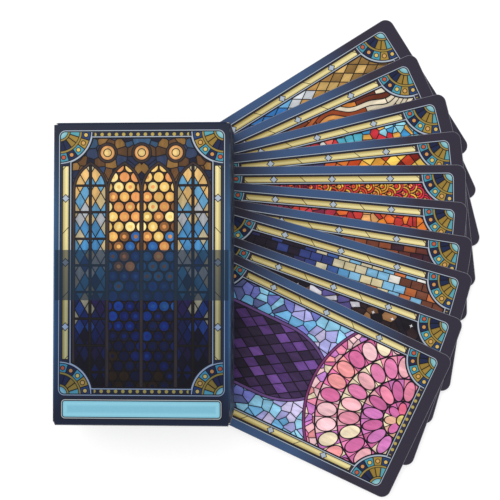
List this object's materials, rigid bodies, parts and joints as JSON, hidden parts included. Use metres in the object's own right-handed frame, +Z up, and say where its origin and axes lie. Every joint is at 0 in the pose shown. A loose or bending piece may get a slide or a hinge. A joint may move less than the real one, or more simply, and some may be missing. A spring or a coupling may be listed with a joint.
{
  "type": "tarot card deck",
  "caption": "Tuck carton of tarot cards leaning on a fan of cards, with a folding lid, tongue and dust flaps, and the rest of the deck inside.",
  "frame": {"origin": "middle of the whole spread's bounding box, on the table surface", "axes": "+Z up from the table, +Y towards the carton's lid end, +X towards the fanned cards"},
  "size_m": [0.1846, 0.2136, 0.0314],
  "materials": {
    "printed_board": "satin laminated print",
    "plain_board": "matte uncoated board",
    "packed_cards": "satin coated card stock",
    "card_print_01": "satin coated card stock, printed",
    "card_print_02": "satin coated card stock, printed",
    "card_print_03": "satin coated card stock, printed",
    "card_print_04": "satin coated card stock, printed",
    "card_print_05": "satin coated card stock, printed",
    "card_print_06": "satin coated card stock, printed",
    "card_print_07": "satin coated card stock, printed",
    "card_print_08": "satin coated card stock, printed",
    "card_print_09": "satin coated card stock, printed",
    "card_print_10": "satin coated card stock, printed"
  },
  "bodies": {
    "carton": {"front_panel": "printed_board", "back_panel": "printed_board", "left_side": "printed_board", "right_side": "printed_board", "glue_flap": "plain_board", "bottom_panel": "printed_board", "bottom_inner_flap": "plain_board", "bottom_left_flap": "plain_board", "bottom_right_flap": "plain_board"},
    "lid": {"top_lid": "printed_board"},
    "tongue": {"tuck_tongue": "printed_board"},
    "left_flap": {"left_dust_flap": "plain_board"},
    "right_flap": {"right_dust_flap": "plain_board"},
    "packet": {"trumps_packet": "packed_cards", "wands_packet": "packed_cards", "cups_packet": "packed_cards", "swords_packet": "packed_cards", "coins_packet": "packed_cards"},
    "fan_card_01": {"card_01": "card_print_01"},
    "fan_card_02": {"card_02": "card_print_02"},
    "fan_card_03": {"card_03": "card_print_03"},
    "fan_card_04": {"card_04": "card_print_04"},
    "fan_card_05": {"card_05": "card_print_05"},
    "fan_card_06": {"card_06": "card_print_06"},
    "fan_card_07": {"card_07": "card_print_07"},
    "fan_card_08": {"card_08": "card_print_08"},
    "fan_card_09": {"card_09": "card_print_09"},
    "fan_card_10": {"card_10": "card_print_10"}
  },
  "joints": [
    {"name": "lid_fold", "type": "hinge", "parent": "carton", "child": "lid", "pos_m": [-0.05452, 0.0556, 0.00159], "axis": [-0.9993, -0.0003, -0.0375], "range_deg": [0, 85]},
    {"name": "tongue_fold", "type": "hinge", "parent": "lid", "child": "tongue", "pos_m": [-0.05547, 0.05605, 0.02683], "axis": [0.9993, 0.0003, 0.0375], "range_deg": [0, 21.25]},
    {"name": "left_flap_fold", "type": "hinge", "parent": "carton", "child": "left_flap", "pos_m": [-0.09153, 0.05532, 0.01322], "axis": [-0.0375, 0.0179, 0.9991], "range_deg": [0, 85]},
    {"name": "right_flap_fold", "type": "hinge", "parent": "carton", "child": "right_flap", "pos_m": [-0.01848, 0.05535, 0.01596], "axis": [0.0375, -0.0179, -0.9991], "range_deg": [0, 85]},
    {"name": "packet_slide", "type": "slide", "parent": "carton", "child": "packet", "axis": [0.0003, 0.9998, -0.0179], "range_m": [0, 0.0025]},
    {"name": "card_01_swing", "type": "hinge", "parent": "carton", "child": "fan_card_01", "pos_m": [-0.07397, 0.00556, 0.00015], "axis": [0, 0, -1], "range_deg": [0, 57.5]},
    {"name": "card_02_swing", "type": "hinge", "parent": "carton", "child": "fan_card_02", "pos_m": [-0.07557, 0.00516, 0.00047], "axis": [0, 0, -1], "range_deg": [0, 50]},
    {"name": "card_03_swing", "type": "hinge", "parent": "carton", "child": "fan_card_03", "pos_m": [-0.08764, 0.00909, 0.00079], "axis": [0, 0, -1], "range_deg": [0, 39.5]},
    {"name": "card_04_swing", "type": "hinge", "parent": "carton", "child": "fan_card_04", "pos_m": [-0.09892, 0.01183, 0.00111], "axis": [0, 0, -1], "range_deg": [0, 31.5]},
    {"name": "card_05_swing", "type": "hinge", "parent": "carton", "child": "fan_card_05", "pos_m": [-0.10456, 0.0109, 0.00143], "axis": [0, 0, -1], "range_deg": [0, 26]},
    {"name": "card_06_swing", "type": "hinge", "parent": "carton", "child": "fan_card_06", "pos_m": [-0.10864, 0.00832, 0.00175], "axis": [0, 0, -1], "range_deg": [0, 20.5]},
    {"name": "card_07_swing", "type": "hinge", "parent": "carton", "child": "fan_card_07", "pos_m": [-0.10108, 0.01339, 0.00207], "axis": [0, 0, -1], "range_deg": [0, 16.5]},
    {"name": "card_08_swing", "type": "hinge", "parent": "carton", "child": "fan_card_08", "pos_m": [-0.1388, 0.02846, 0.00239], "axis": [0, 0, -1], "range_deg": [0, 9.5]},
    {"name": "card_09_swing", "type": "hinge", "parent": "carton", "child": "fan_card_09", "pos_m": [-0.09356, 0.01401, 0.00271], "axis": [0, 0, -1], "range_deg": [0, 5.5]},
    {"name": "card_10_draw", "type": "slide", "parent": "carton", "child": "fan_card_10", "axis": [0.9026, -0.4305, 0], "range_m": [0, 0.09]}
  ],
  "couplings": [
    {"joint": "tongue_fold", "follows": "lid_fold", "ratio": 0.25},
    {"joint": "left_flap_fold", "follows": "lid_fold", "ratio": 1},
    {"joint": "right_flap_fold", "follows": "lid_fold", "ratio": 1},
    {"joint": "card_02_swing", "follows": "card_01_swing", "ratio": 0.86957},
    {"joint": "card_03_swing", "follows": "card_01_swing", "ratio": 0.68696},
    {"joint": "card_04_swing", "follows": "card_01_swing", "ratio": 0.54783},
    {"joint": "card_05_swing", "follows": "card_01_swing", "ratio": 0.45217},
    {"joint": "card_06_swing", "follows": "card_01_swing", "ratio": 0.35652},
    {"joint": "card_07_swing", "follows": "card_01_swing", "ratio": 0.28696},
    {"joint": "card_08_swing", "follows": "card_01_swing", "ratio": 0.16522},
    {"joint": "card_09_swing", "follows": "card_01_swing", "ratio": 0.095652}
  ]
}
